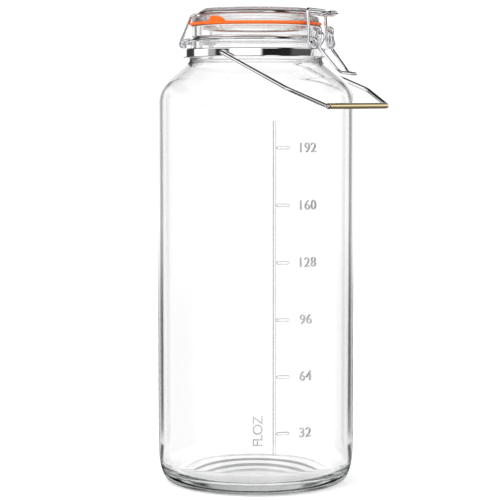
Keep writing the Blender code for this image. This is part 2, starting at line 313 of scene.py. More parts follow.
@dataclass
class Finishes:
    """One shared material for each finish."""

    glass: bpy.types.Material = field(default_factory=lambda: ClearGlass().build())
    # grey glass painted as shade on the moulded scale
    relief_painted_shade: bpy.types.Material = field(default_factory=lambda: ReliefPaintedShade().build())
    silicone: bpy.types.Material = field(default_factory=lambda: Silicone().build())
    wire: bpy.types.Material = field(default_factory=lambda: BrightMetal(
        "chromed_wire", (0.84, 0.85, 0.87), (0.03, 0.08)).build())
    band: bpy.types.Material = field(default_factory=lambda: BrightMetal(
        "polished_steel", (0.90, 0.90, 0.91), (0.03, 0.07), (1.0, 1.0, 8.0)).build())
    sleeve: bpy.types.Material = field(default_factory=lambda: BrightMetal(
        "gold_sleeve", (0.84, 0.65, 0.32), (0.08, 0.14), (0.3, 6.0, 6.0), 900.0).build())


# ---- Lines ---------------------------------------------------------------------------------


def arc(centre: Flat, radius: float, start: float, end: float, steps: int) -> list[Flat]:
    """Points of an arc in a plane.

    Args:
        centre: The arc's centre.
        radius: Its radius.
        start: First angle in degrees, from the first axis towards the second.
        end: Last angle in degrees.
        steps: Number of chords.

    Returns:
        The points, both ends included.
    """
    turns = [math.radians(start + (end - start) * i / steps) for i in range(steps + 1)]
    return [(centre[0] + radius * math.cos(t), centre[1] + radius * math.sin(t)) for t in turns]


def corner_curve(wall: float, foot: float, top: float, bottom: float, power: float,
                 steps: int) -> list[Flat]:
    """Points of a soft corner from an upright wall down to a level foot.

    Args:
        wall: Radius of the wall.
        foot: Radius where the foot begins.
        top: Height where the corner leaves the wall.
        bottom: Height of the foot.
        power: Fullness of the corner; 2 is an ellipse.
        steps: Number of chords.

    Returns:
        Radius and height pairs from the wall to the foot.
    """
    points = []
    for index in range(steps + 1):
        turn = math.pi / 2 * index / steps
        out = max(math.cos(turn), 0.0) ** (2 / power)
        down = math.sin(turn) ** (2 / power)
        points.append((foot + (wall - foot) * out, top - (top - bottom) * down))
    return points


def rounded(points: Sequence[Sequence[float]], radii: Sequence[float],
            steps: int = 6) -> list[Vector]:
    """Round the inner corners of a path.

    Args:
        points: The path's corners.
        radii: A bend radius for each inner corner; 0 leaves it sharp.
        steps: Chords to a bend.

    Returns:
        The rounded path.
    """
    path = [Vector(points[0])]
    for index, radius in enumerate(radii, start=1):
        corner = Vector(points[index])
        back = (Vector(points[index - 1]) - corner).normalized()
        ahead = (Vector(points[index + 1]) - corner).normalized()
        half = back.angle(ahead) / 2
        if radius <= 0 or half > math.radians(89):
            path.append(corner)
            continue
        centre = corner + (back + ahead).normalized() * (radius / math.sin(half))
        first = corner + back * (radius / math.tan(half)) - centre
        last = corner + ahead * (radius / math.tan(half)) - centre
        swing = first.angle(last)
        for step in range(steps + 1):
            near = math.sin((1 - step / steps) * swing) / math.sin(swing)
            far = math.sin(step / steps * swing) / math.sin(swing)
            path.append(centre + first * near + last * far)
    path.append(Vector(points[-1]))
    return path


def profile(corners: Sequence[Flat], radii: Sequence[float], steps: int = 5) -> list[Flat]:
    """Round the inner corners of a turned outline of radius and height pairs.

    Long straight runs get a point just inside each end, so that smooth shading keeps them flat.
    """
    path = rounded([(r, z, 0.0) for r, z in corners], radii, steps)
    points = [path[0]]
    for start, end in zip(path, path[1:]):
        along = end - start
        if along.length > 1.0 * MM:
            inset = along.normalized() * 0.15 * MM
            points += [start + inset, end - inset]
        points.append(end)
    return [(p.x, p.y) for p in points]


def ring_arc(radius: float, height: float, start: float, end: float,
             step: float = 4.0) -> list[Vector]:
    """Points round the jar's axis.

    Args:
        radius: The ring's radius.
        height: Its height.
        start: First angle in degrees, from +Y towards +X.
        end: Last angle in degrees.
        step: The longest chord, in degrees.

    Returns:
        The points, both ends included.
    """
    count = max(2, round(abs(end - start) / step))
    turns = [math.radians(start + (end - start) * i / count) for i in range(count + 1)]
    return [Vector((radius * math.sin(t), radius * math.cos(t), height)) for t in turns]


def side_arc(x: float, centre: Flat, radius: float, start: float, end: float,
             steps: int = 26) -> list[Vector]:
    """Points of an arc in a plane of constant x, angles from +Y towards +Z."""
    return [Vector((x, y, z)) for y, z in arc(centre, radius, start, end, steps)]


def mirrored(half: Sequence[Vector]) -> list[Vector]:
    """Carry a path that ends on the middle plane over to the other side."""
    other = [Vector((-p.x, p.y, p.z)) for p in reversed(half) if p.x > 0.01 * MM]
    return [*half, *other]


# ---- Pieces --------------------------------------------------------------------------------


@dataclass
class Dresser:
    """Turns meshes and paths into finished pieces on the model's bodies."""

    finishes: Finishes

    def finish_of(self, slot: Slot) -> bpy.types.Material:
        """Return the material of a slot."""
        return {Slot.GLASS: self.finishes.glass, Slot.SILICONE: self.finishes.silicone,
                Slot.WIRE: self.finishes.wire, Slot.BAND: self.finishes.band,
                Slot.SLEEVE: self.finishes.sleeve}[slot]

    def seat(self, obj: bpy.types.Object, body: Body, slot: Slot,
             nodes: Sequence[str]) -> bpy.types.Object:
        """Give a piece its finish and hang it on its body.

        Args:
            obj: The piece, in place.
            body: The body it moves with.
            slot: Its material slot.
            nodes: The solids that it stands for.

        Returns:
            The piece.
        """
        obj.data.materials.append(self.finish_of(slot))
        bpy.context.scene.collection.objects.link(obj)
        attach(obj, body.value)
        if nodes:
            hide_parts(*nodes)
        LOG.info("%s rides on %s", obj.name, body.value)
        return obj

    def mesh(self, name: str, bm: bmesh.types.BMesh, body: Body, slot: Slot,
             nodes: Sequence[str] = (), crease: float = 50.0) -> bpy.types.Object:
        """Make a smooth-shaded piece of a bmesh.

        Args:
            name: The piece's name.
            bm: Its shape, which is freed.
            body: The body it moves with.
            slot: Its material slot.
            nodes: The solids that it stands for.
            crease: Edges sharper than this many degrees stay crisp.

        Returns:
            The piece.
        """
        data = bpy.data.meshes.new(name)
        bm.to_mesh(data)
        bm.free()
        data.shade_smooth()
        data.set_sharp_from_angle(angle=math.radians(crease))
        return self.seat(bpy.data.objects.new(name, data), body, slot, nodes)

    def wire(self, name: str, path: Sequence[Vector], radius: float, body: Body,
             nodes: Sequence[str]) -> bpy.types.Object:
        """Make a round wire with eased ends.

        Args:
            name: The piece's name.
            path: Its centre line.
            radius: The wire's radius.
            body: The body it moves with.
            nodes: The solids that it stands for.

        Returns:
            The piece.
        """
        head = (path[1] - path[0]).normalized()
        tail = (path[-2] - path[-1]).normalized()
        ease = [(0.0, 0.72), (0.1, 0.88), (0.32, 1.0)]
        ends = [(path[0] + head * radius * along, share) for along, share in ease]
        ends_back = [(path[-1] + tail * radius * along, share) for along, share in ease]
        stations = ends + [(p, 1.0) for p in path[1:-1]] + ends_back[::-1]
        curve = bpy.data.curves.new(name, "CURVE")
        curve.dimensions = "3D"
        curve.twist_mode = "MINIMUM"
        curve.bevel_depth = radius
        curve.bevel_resolution = 6
        curve.use_fill_caps = True
        spline = curve.splines.new("POLY")
        spline.points.add(len(stations) - 1)
        for point, (place, share) in zip(spline.points, stations):
            point.co = (*place, 1.0)
            point.radius = share
        spline.use_smooth = True
        return self.seat(bpy.data.objects.new(name, curve), body, Slot.WIRE, nodes)


def spun(outline: Sequence[Flat], closed: bool, steps: int = 160, start: float = 0.0,
         sweep: float = 360.0) -> bmesh.types.BMesh:
    """Turn an outline about the jar's axis.

    Args:
        outline: Radius and height pairs.
        closed: True joins the outline's ends, for a ring; False is for one that runs from the
            axis to the axis.
        steps: Faces round the turn.
        start: First angle in degrees.
        sweep: Angle turned through.

    Returns:
        The shape, its faces outwards where it is closed.
    """
    bm = bmesh.new()
    turn = Matrix.Rotation(math.radians(start), 3, "Z")
    verts = [bm.verts.new(turn @ Vector((r, 0.0, z))) for r, z in outline]
    edges = [bm.edges.new(pair) for pair in zip(verts, verts[1:])]
    if closed:
        edges.append(bm.edges.new((verts[-1], verts[0])))
    bmesh.ops.spin(bm, geom=verts + edges, cent=(0, 0, 0), axis=(0, 0, 1),
                   angle=math.radians(sweep), steps=steps, use_merge=sweep > 359,
                   use_duplicate=False)
    bmesh.ops.remove_doubles(bm, verts=bm.verts, dist=0.005 * MM)
    bmesh.ops.recalc_face_normals(bm, faces=bm.faces)
    return bm


@dataclass
class JarBody:
    """The pressed glass body: heel, wall, shoulder, neck, bead and rim."""

    radius: float = 84.2 * MM
    wall: float = 4.0 * MM
    heel_width: float = 13.9 * MM
    heel_height: float = 36.0 * MM
    heel_power: float = 2.6
    hollow_radius: float = 66.0 * MM
    hollow_height: float = 1.4 * MM
    shoulder: float = 26.0 * MM
    shoulder_height: float = 326.2 * MM
    cone: float = 38.5
    cone_end: Flat = (57.3 * MM, 360.1 * MM)
    neck: float = 55.8 * MM
    bead: float = 60.0 * MM
    bead_root: float = 56.3 * MM
    bead_span: Flat = (364.8 * MM, 370.0 * MM)
    groove: float = 53.5 * MM
    groove_span: tuple[float, ...] = (377.2 * MM, 378.2 * MM, 380.4 * MM, 381.8 * MM)
    rim: float = 54.8 * MM
    rim_top: float = 390.7 * MM
    mouth: float = 48.5 * MM
    throat_low: float = 368.8 * MM
    throat_end: Flat = (52.5 * MM, 358.8 * MM)
    floor: float = 9.5 * MM
    floor_radius: float = 71.0 * MM
    floor_corner: float = 11.0 * MM

    def outside(self) -> list[Flat]:
        """Outline from the middle of the foot up to the rim."""
        foot = self.radius - self.heel_width
        bow = self.hollow_height + self.hollow_radius ** 2 / self.hollow_height
        hollow = [(r, self.hollow_height - bow / 2 + math.sqrt(bow ** 2 / 4 - r ** 2))
                  for r in (self.hollow_radius * i / 24 for i in range(25))]
        heel = corner_curve(self.radius, foot, self.heel_height, 0.0, self.heel_power, 28)
        centre = (self.radius - self.shoulder, self.shoulder_height)
        shoulder = arc(centre, self.shoulder, 0, 90 - self.cone, 26)
        low, high = self.bead_span
        neck = profile(
            [shoulder[-1], self.cone_end, (self.bead_root, low), (self.bead, low),
             (self.bead, high), (self.neck, high + 0.2 * MM), (self.neck, self.groove_span[0]),
             (self.groove, self.groove_span[1]), (self.groove, self.groove_span[2]),
             (self.rim, self.groove_span[3]), (self.rim, self.rim_top),
             (self.mouth, self.rim_top)],
            [r * MM for r in (6.0, 0.6, 1.0, 1.0, 0.8, 0.5, 0.8, 0.8, 1.0, 1.5)])
        return hollow + heel[::-1] + shoulder + neck[1:-1]

    def inside(self) -> list[Flat]:
        """Outline from the mouth down to the middle of the floor."""
        centre = (self.radius - self.shoulder, self.shoulder_height)
        shoulder = arc(centre, self.shoulder - self.wall, 90 - self.cone, 0, 22)
        mouth = profile([(52.0 * MM, self.rim_top), (self.mouth, self.rim_top),
                         (self.mouth, self.throat_low), self.throat_end, shoulder[0]],
                        [0.8 * MM, 5.0 * MM, 4.0 * MM])
        floor = corner_curve(self.radius - self.wall, self.floor_radius,
                             self.floor + self.floor_corner, self.floor, 2.2, 22)
        return mouth[1:-1] + shoulder + floor + [(0.0, self.floor)]

    def build(self, dresser: Dresser) -> None:
        """Build the body as one closed shell of glass."""
        bm = spun(self.outside() + self.inside(), closed=False, steps=192)
        dresser.mesh("jar_glass", bm, Body.JAR, Slot.GLASS, ["jar"])


@dataclass
class FillScale:
    """The scale moulded on the wall: a rib, marks, their numbers and the unit."""

    wall: float = 84.2 * MM
    relief: float = 0.9 * MM
    sunk: float = 0.12 * MM
    eased: float = 0.8
    stroke_bevel: float = 0.3 * MM
    stroke_offset: float = -0.28 * MM
    cap_share: float = 0.7
    facing: float = 205.7
    rib_at: float = 10.25
    rib_width: float = 2.6 * MM
    rib_low: float = 35.9 * MM
    rib_high: float = 311.3 * MM
    mark_first: float = 53.8 * MM
    mark_pitch: float = 47.09 * MM
    mark_count: int = 6
    mark_step: int = 32
    mark_length: float = 11.4 * MM
    mark_width: float = 2.8 * MM
    number_at: float = 25.2
    number_height: float = 8.1 * MM
    unit_at: float = 0.9
    unit_height: float = 8.2 * MM
    unit_middle: float = 56.5 * MM

    def wrap(self, bm: bmesh.types.BMesh, at: float) -> None:
        """Bend a flat relief onto the wall.

        Args:
            bm: The relief, x along the wall, y up and z outwards.
            at: Where its x = 0 goes, in degrees right of the direction the scale faces.
        """
        for vert in bm.verts:
            across, height, out = vert.co
            turn = math.radians(self.facing + at) + across / self.wall
            reach = self.wall - self.sunk + out
            vert.co = (reach * math.cos(turn), reach * math.sin(turn), height)

    def bar(self, low: Flat, high: Flat) -> bmesh.types.BMesh:
        """A flat relief bar with round ends and eased edges.

        Args:
            low: Its lower left corner.
            high: Its upper right corner.

        Returns:
            The bar.
        """
        bm = bmesh.new()
        bmesh.ops.create_cube(bm, size=1.0)
        width, length = high[0] - low[0], high[1] - low[1]
        depth = self.relief + self.sunk
        bmesh.ops.scale(bm, vec=(width, length, depth), verts=bm.verts)
        bmesh.ops.translate(bm, vec=((low[0] + high[0]) / 2, (low[1] + high[1]) / 2, depth / 2),
                            verts=bm.verts)
        upright = [e for e in bm.edges if abs(e.verts[0].co.z - e.verts[1].co.z) > depth / 2]
        bmesh.ops.bevel(bm, geom=upright, offset=0.48 * min(width, length), segments=6,
                        affect="EDGES", profile=0.5, material=-1)
        rim = [e for e in bm.edges if min(v.co.z for v in e.verts) > depth * 0.9]
        bmesh.ops.bevel(bm, geom=rim, offset=self.relief * self.eased, segments=3, affect="EDGES",
                        profile=0.5, material=-1)
        return bm

    def mould(self, name: str, bm: bmesh.types.BMesh, at: float, dresser: Dresser,
              flank: float = 0.97) -> None:
        """Wrap a relief onto the wall and give its flanks grey glass as painted shade.

        Args:
            name: The piece's name.
            bm: The flat relief.
            at: Where its x = 0 goes, in degrees right of the direction the scale faces.
            dresser: Makes the piece.
            flank: Faces that look outwards less squarely than this count as flanks and get the
                painted shade; above 1 every face but the back gets it.
        """
        bmesh.ops.recalc_face_normals(bm, faces=bm.faces)
        # painted shade: flanks take the grey glass; the back stays clear
        for face in bm.faces:
            face.material_index = int(-0.5 < face.normal.z < flank)
        self.wrap(bm, at)
        piece = dresser.mesh(name, bm, Body.JAR, Slot.GLASS)
        piece.data.materials.append(dresser.finishes.relief_painted_shade)

    def rib(self, dresser: Dresser) -> None:
        """Build the long upright rib."""
        half = self.rib_width / 2
        bm = self.bar((-half, self.rib_low), (half, self.rib_high))
        self.mould("scale_rib", bm, self.rib_at, dresser)

    def marks(self, dresser: Dresser) -> None:
        """Build the level marks beside the rib."""
        half = self.mark_width / 2
        start = self.rib_width / 2 + 0.3 * MM
        for index in range(self.mark_count):
            level = self.mark_first + self.mark_pitch * index
            bm = self.bar((start, level - half), (start + self.mark_length, level + half))
            self.mould(f"scale_mark_{index + 1}", bm, self.rib_at, dresser)

    def lettering(self, words: str, height: float, space: float = 1.06) -> bmesh.types.BMesh:
        """Make a word in relief, its lower left corner at the origin.

        Args:
            words: What it says.
            height: Height of its capitals and digits.
            space: Room from one letter to the next, 1 being the font's own.

        Returns:
            The word, lying in the XY plane.
        """
        text = bpy.data.curves.new("lettering", "FONT")
        text.body = words
        text.size = height / self.cap_share
        text.space_word = 0.3
        text.space_character = space
        text.resolution_u = 5
        text.extrude = self.relief / 2
        text.bevel_depth = self.stroke_bevel
        text.bevel_resolution = 2
        text.offset = self.stroke_offset
        carrier = bpy.data.objects.new("lettering", text)
        bpy.context.scene.collection.objects.link(carrier)
        bpy.context.view_layer.update()
        data = bpy.data.meshes.new_from_object(
            carrier.evaluated_get(bpy.context.evaluated_depsgraph_get()))
        bm = bmesh.new()
        bm.from_mesh(data)
        bpy.data.objects.remove(carrier, do_unlink=True)
        bpy.data.curves.remove(text)
        bpy.data.meshes.remove(data)
        bmesh.ops.remove_doubles(bm, verts=bm.verts, dist=0.002 * MM)
        low = Vector([min(v.co[i] for v in bm.verts) for i in range(3)])
        tall = max(v.co.y for v in bm.verts) - low.y
        bmesh.ops.translate(bm, vec=-low, verts=bm.verts)
        bmesh.ops.scale(bm, vec=(height / tall, height / tall, 1.0), verts=bm.verts)
        return bm

    def numbers(self, dresser: Dresser) -> None:
        """Build the number of each mark."""
        for index in range(self.mark_count):
            level = self.mark_first + self.mark_pitch * index
            bm = self.lettering(str(self.mark_step * (index + 1)), self.number_height)
            bmesh.ops.translate(bm, vec=(0.0, level - self.number_height / 2, 0.0),
                                verts=bm.verts)
            # flank above 1: the numbers are grey glass all over, painted shade on their tops too
            self.mould(f"scale_number_{index + 1}", bm, self.number_at, dresser, 1.1)

    def unit(self, dresser: Dresser) -> None:
        """Build the unit, which reads upwards beside the rib."""
        bm = self.lettering("FL OZ", self.unit_height, 0.86)
        length = max(v.co.x for v in bm.verts)
        bmesh.ops.rotate(bm, verts=bm.verts, cent=(0, 0, 0),
                         matrix=Matrix.Rotation(math.pi / 2, 3, "Z"))
        bmesh.ops.translate(bm, vec=(self.unit_height / 2, self.unit_middle - length / 2, 0.0),
                            verts=bm.verts)
        # flank above 1: the unit is grey glass all over, painted shade on its tops too
        self.mould("scale_unit", bm, self.unit_at, dresser, 1.1)

    def build(self, dresser: Dresser) -> None:
        """Build the whole scale."""
        self.rib(dresser)
        self.marks(dresser)
        self.numbers(dresser)
        self.unit(dresser)


@dataclass
class NeckBand:
    """The rolled steel band with its two round pin holes."""

    radius: float = 62.5 * MM
    skin: float = 0.8 * MM
    low: float = 363.6 * MM
    high: float = 371.2 * MM
    lip: float = 58.2 * MM
    hole: float = 2.15 * MM
    hole_height: float = 367.4 * MM

    def build(self, dresser: Dresser) -> None:
        """Turn the band and drill its holes."""
        inner = self.radius - self.skin
        corners = [(60.0 * MM, self.low), (self.radius, self.low), (self.radius, self.high),
                   (self.lip, self.high), (self.lip, self.high - self.skin),
                   (inner, self.high - self.skin), (inner, self.low + self.skin),
                   (self.lip, self.low + self.skin), (self.lip, self.low)]
        bends = [r * MM for r in (0.95, 0.95, 0.3, 0.3, 0.2, 0.2, 0.3)]
        bm = spun(profile(corners, bends, 5), closed=True, steps=180)
        piece = dresser.mesh("neck_band", bm, Body.JAR, Slot.BAND, ["band"], 30.0)
        drill = bmesh.new()
        across = Matrix.Translation((0, 0, self.hole_height)) @ Matrix.Rotation(
            math.pi / 2, 4, "Y")
        bmesh.ops.create_cone(drill, cap_ends=True, segments=32, radius1=self.hole,
                              radius2=self.hole, depth=2.4 * self.radius, matrix=across)
        data = bpy.data.meshes.new("pin_drill")
        drill.to_mesh(data)
        drill.free()
        cutter = bpy.data.objects.new("pin_drill", data)
        bpy.context.scene.collection.objects.link(cutter)
        cut = piece.modifiers.new("pin_holes", "BOOLEAN")
        cut.operation = "DIFFERENCE"
        cut.solver = "EXACT"
        cut.object = cutter
        bpy.context.view_layer.update()
        drilled = bpy.data.meshes.new_from_object(
            piece.evaluated_get(bpy.context.evaluated_depsgraph_get()))
        piece.modifiers.remove(cut)
        piece.data = drilled
        bpy.data.objects.remove(cutter, do_unlink=True)


@dataclass
class Lid:
    """The glass lid: plug, flange, ring shoulder and boss."""

    under: float = 393.7 * MM
    flange: float = 54.3 * MM
    flange_top: float = 398.2 * MM
    boss: float = 48.2 * MM
    top: float = 405.4 * MM
    plug: float = 45.8 * MM
    plug_low: float = 386.8 * MM
    recess: float = 39.0 * MM
    recess_top: float = 399.6 * MM

    def build(self, dresser: Dresser) -> None:
        """Turn the lid."""
        below = profile(
            [(0.0, self.recess_top), (self.recess, self.recess_top),
             (self.recess + 1.0 * MM, self.plug_low), (self.plug, self.plug_low),
             (self.plug, self.under), (self.flange, self.under),
             (self.flange, self.flange_top), (self.boss, self.flange_top + 0.4 * MM),
             (self.boss, self.top), (0.0, self.top)],
            [r * MM for r in (5.0, 2.4, 2.0, 0.6, 0.9, 1.6, 1.2, 4.4)], 8)
        bm = spun(below, closed=False, steps=192)
        dresser.mesh("lid_glass", bm, Body.LID, Slot.GLASS, ["lid"])


@dataclass
class SealingRing:
    """The flat silicone ring with its pull tab."""

    low: float = 391.0 * MM
    thick: float = 2.4 * MM
    radius: float = 56.2 * MM
    bore: float = 46.6 * MM
    tab_half: float = 8.8
    tab_inner: float = 54.65 * MM
    tab_height: float = 4.0 * MM
    tab_foot: float = 0.5 * MM
    tab_skew: float = 0.25
    tab_at: float = 169.0
    lip: float = 0.95 * MM

    def build(self, dresser: Dresser) -> None:
        """Turn the ring in two parts, fine at the tab, and raise the tab."""
        low, high = self.low, self.low + self.thick
        edge = profile([(self.bore, low), (self.radius, low), (self.radius, high),
                        (self.tab_inner, high)], [self.lip, self.lip], 4)
        outline = [*edge, (self.bore, high)]
        bm = spun(outline, True, 44, -self.tab_half, 2 * self.tab_half)
        rest = spun(outline, True, 130, self.tab_half, 360 - 2 * self.tab_half)
        part = bpy.data.meshes.new("seal_part")
        rest.to_mesh(part)
        rest.free()
        bm.from_mesh(part)
        bpy.data.meshes.remove(part)
        bmesh.ops.remove_doubles(bm, verts=bm.verts, dist=0.005 * MM)
        self.raise_tab(bm, high)
        turn = Matrix.Rotation(math.radians(self.tab_at), 3, "Z")
        bmesh.ops.rotate(bm, verts=bm.verts, cent=(0, 0, 0), matrix=turn)
        bmesh.ops.recalc_face_normals(bm, faces=bm.faces)
        dresser.mesh("sealing_ring", bm, Body.LID, Slot.SILICONE, ["gasket"], 55.0)

    def raise_tab(self, bm: bmesh.types.BMesh, high: float) -> None:
        """Lift the outer edge's top faces into a rounded tab.

        Args:
            bm: The ring, with its tab's middle at +X.
            high: Height of the ring's top.
        """
        chosen = []
        for face in bm.faces:
            middle = face.calc_center_median()
            bearing = math.degrees(math.atan2(middle.y, middle.x))
            reach = math.hypot(middle.x, middle.y)
            level = abs(middle.z - high) < 0.01 * MM
            inside = self.tab_inner < reach < self.radius - self.lip
            if level and inside and abs(bearing) < self.tab_half - 0.2:
                chosen.append(face)
        made = bmesh.ops.extrude_face_region(bm, geom=chosen)["geom"]
        bmesh.ops.delete(bm, geom=chosen, context="FACES_ONLY")
        for vert in (item for item in made if isinstance(item, bmesh.types.BMVert)):
            bearing = math.degrees(math.atan2(vert.co.y, vert.co.x))
            share = max(-1.0, min(1.0, bearing / self.tab_half))
            share += self.tab_skew * (1 - share ** 2)
            vert.co.z += self.tab_foot + self.tab_height * math.sqrt(max(0.0, 1 - share ** 2))


@dataclass
class Clamp:
    """The four wires of the clamp: lid wire, neck wire, lever and bail."""

    gauge: float = 1.35 * MM
    eye: float = 3.0 * MM
    lid_ring: Flat = (50.1 * MM, 401.1 * MM)
    neck_ring: Flat = (55.5 * MM, 379.3 * MM)
    hinge: Flat = (60.0 * MM, 376.4 * MM)
    hinge_eye: float = 18.2 * MM
    hinge_bar: float = 24.0 * MM
    leg_lean: float = 25.5
    leg_top: float = 398.8 * MM
    tongue: float = 14.2 * MM
    fulcrum: Flat = (-62.9 * MM, 385.6 * MM)
    elbow: Flat = (-61.3 * MM, 375.7 * MM)
    inner_crank: float = 9.7 * MM
    bracket: float = 12.7 * MM
    outer_crank: float = 15.7 * MM
    bail_side: float = 18.7 * MM
    elbow_end: float = 21.3 * MM
    bail_front: float = -56.3 * MM
    bail_top: float = 403.4 * MM
    bail_loop: float = 3.3 * MM

    def lid_wire(self, dresser: Dresser) -> None:
        """Bend the wire that holds the lid: eyes, legs, ring and tongue."""
        radius, height = self.lid_ring
        x = self.hinge_eye
        eye = side_arc(x, self.hinge, self.eye, self.leg_lean - 270, self.leg_lean)
        foot = eye[-1]
        lean = math.tan(math.radians(self.leg_lean))
        leg_y = foot.y - (self.leg_top - foot.z) * lean
        back = math.degrees(math.asin(x / radius))
        front = 180 - math.degrees(math.asin(self.tongue / radius))
        ring = ring_arc(radius, height, back, front)
        leg = rounded([foot, (x, leg_y, self.leg_top), ring[0], ring[2]], [2.0 * MM, 3.0 * MM])
        tongue = rounded(
            [ring[-3], ring[-1], (self.tongue, -57.0 * MM, 399.7 * MM),
             (13.2 * MM, -65.2 * MM, 398.9 * MM), (6.6 * MM, -72.6 * MM, 400.9 * MM),
             (0.0, -73.2 * MM, 401.1 * MM)], [3.0 * MM, 8.0 * MM, 6.0 * MM, 4.0 * MM])
        half = eye[:-1] + leg + ring[3:-3] + tongue
        dresser.wire("lid_wire_bent", mirrored(half), self.gauge, Body.LID, ["lid_wire"])

    def neck_wire(self, dresser: Dresser) -> None:
        """Bend the wire round the neck: latch eyes, ring and hinge bar."""
        radius, height = self.neck_ring
        x = self.bracket
        eye = side_arc(x, self.fulcrum, self.eye, 255, 0)
        front = 180 - math.degrees(math.asin(x / radius))
        back = math.degrees(math.asin(self.hinge_bar / radius))
        ring = ring_arc(radius, height, front, back)
        riser = self.fulcrum[0] + self.eye
        arm = rounded([eye[-1], (x, riser, height + 0.4 * MM), ring[0], ring[2]],
                      [2.2 * MM, 3.0 * MM])
        hinge_y, hinge_z = self.hinge
        bar = rounded([ring[-3], ring[-1], (self.hinge_bar, 55.0 * MM, 378.6 * MM),
                       (self.hinge_bar, hinge_y, hinge_z), (0.0, hinge_y, hinge_z)],
                      [3.0 * MM, 4.0 * MM, 2.0 * MM])
        half = eye[:-1] + arm + ring[3:-3] + bar
        dresser.wire("neck_wire_bent", mirrored(half), self.gauge, Body.JAR, ["neck_wire"])

    def lever(self, dresser: Dresser) -> None:
        """Bend the lever: elbow pin, cranks, fulcrum pin and finger loop."""
        out, up = self.fulcrum
        low, knee = self.elbow
        path = [(self.elbow_end, low, knee), (self.outer_crank, low, knee),
                (self.outer_crank, out, up), (self.inner_crank, out, up),
                (9.9 * MM, -66.7 * MM, 382.2 * MM), (10.8 * MM, -67.0 * MM, 377.0 * MM),
                (13.2 * MM, -64.2 * MM, 372.0 * MM), (10.2 * MM, -79.1 * MM, 353.9 * MM),
                (8.2 * MM, -82.1 * MM, 350.9 * MM), (3.2 * MM, -89.4 * MM, 349.8 * MM),
                (2.2 * MM, -91.5 * MM, 349.7 * MM), (0.0, -91.7 * MM, 349.7 * MM)]
        bends = [r * MM for r in (1.5, 1.5, 1.5, 4.0, 6.0, 4.0, 12.0, 4.0, 6.0, 1.2)]
        dresser.wire("latch_lever_bent", mirrored(rounded(path, bends)), self.gauge, Body.LEVER,
                     ["latch_lever"])

    def bail(self, dresser: Dresser) -> None:
        """Bend the bail: elbow loops, arms and the bar over the tongue."""
        loop = side_arc(self.bail_side, self.elbow, self.bail_loop, 95, 360)
        corner = (self.bail_side, self.bail_front, self.bail_top)
        path = rounded([loop[-2], loop[-1], corner, (0.0, self.bail_front, self.bail_top)],
                       [0.0, 2.2 * MM])
        dresser.wire("latch_bail_bent", mirrored(loop[:-2] + path), self.gauge, Body.BAIL,
                     ["latch_bail"])

    def build(self, dresser: Dresser) -> None:
        """Bend all four wires."""
        self.lid_wire(dresser)
        self.neck_wire(dresser)
        self.lever(dresser)
        self.bail(dresser)


@dataclass
class Handle:
    """The carrying handle: a bent wire and the sleeve on its straight stretch."""

    gauge: float = 1.8 * MM
    pin_height: float = 367.4 * MM
    pin_end: float = 60.6 * MM
    corner: float = 66.1 * MM
    grip_line: Flat = (-94.6 * MM, 323.0 * MM)
    sleeve: float = 2.55 * MM
    sleeve_bore: float = 2.15 * MM
    sleeve_half: float = 62.6 * MM

    def build(self, dresser: Dresser) -> None:
        """Bend the wire and turn the sleeve."""
        out, up = self.grip_line
        path = [(self.pin_end, 0.0, self.pin_height), (66.6 * MM, 0.0, self.pin_height),
                (85.0 * MM, -68.3 * MM, 336.9 * MM), (self.corner, out, up), (0.0, out, up)]
        half = rounded(path, [2.6 * MM, 9.0 * MM, 2.8 * MM], 9)
        dresser.wire("handle_bent", mirrored(half), self.gauge, Body.HANDLE, ["handle_wire"])
        outline = profile(
            [(self.sleeve_bore, 0.0), (self.sleeve_bore, -self.sleeve_half),
             (self.sleeve, -self.sleeve_half), (self.sleeve, self.sleeve_half),
             (self.sleeve_bore, self.sleeve_half), (self.sleeve_bore, 0.01 * MM)],
            [0.08 * MM, 0.16 * MM, 0.16 * MM, 0.08 * MM], 3)
        bm = spun(outline, closed=True, steps=40)
        lay = Matrix.Translation((0, out, up)) @ Matrix.Rotation(math.pi / 2, 4, "Y")
        bmesh.ops.transform(bm, matrix=lay, verts=bm.verts)
        dresser.mesh("grip_sleeve", bm, Body.HANDLE, Slot.SLEEVE, ["handle_grip"], 40.0)


# ---- Studio --------------------------------------------------------------------------------


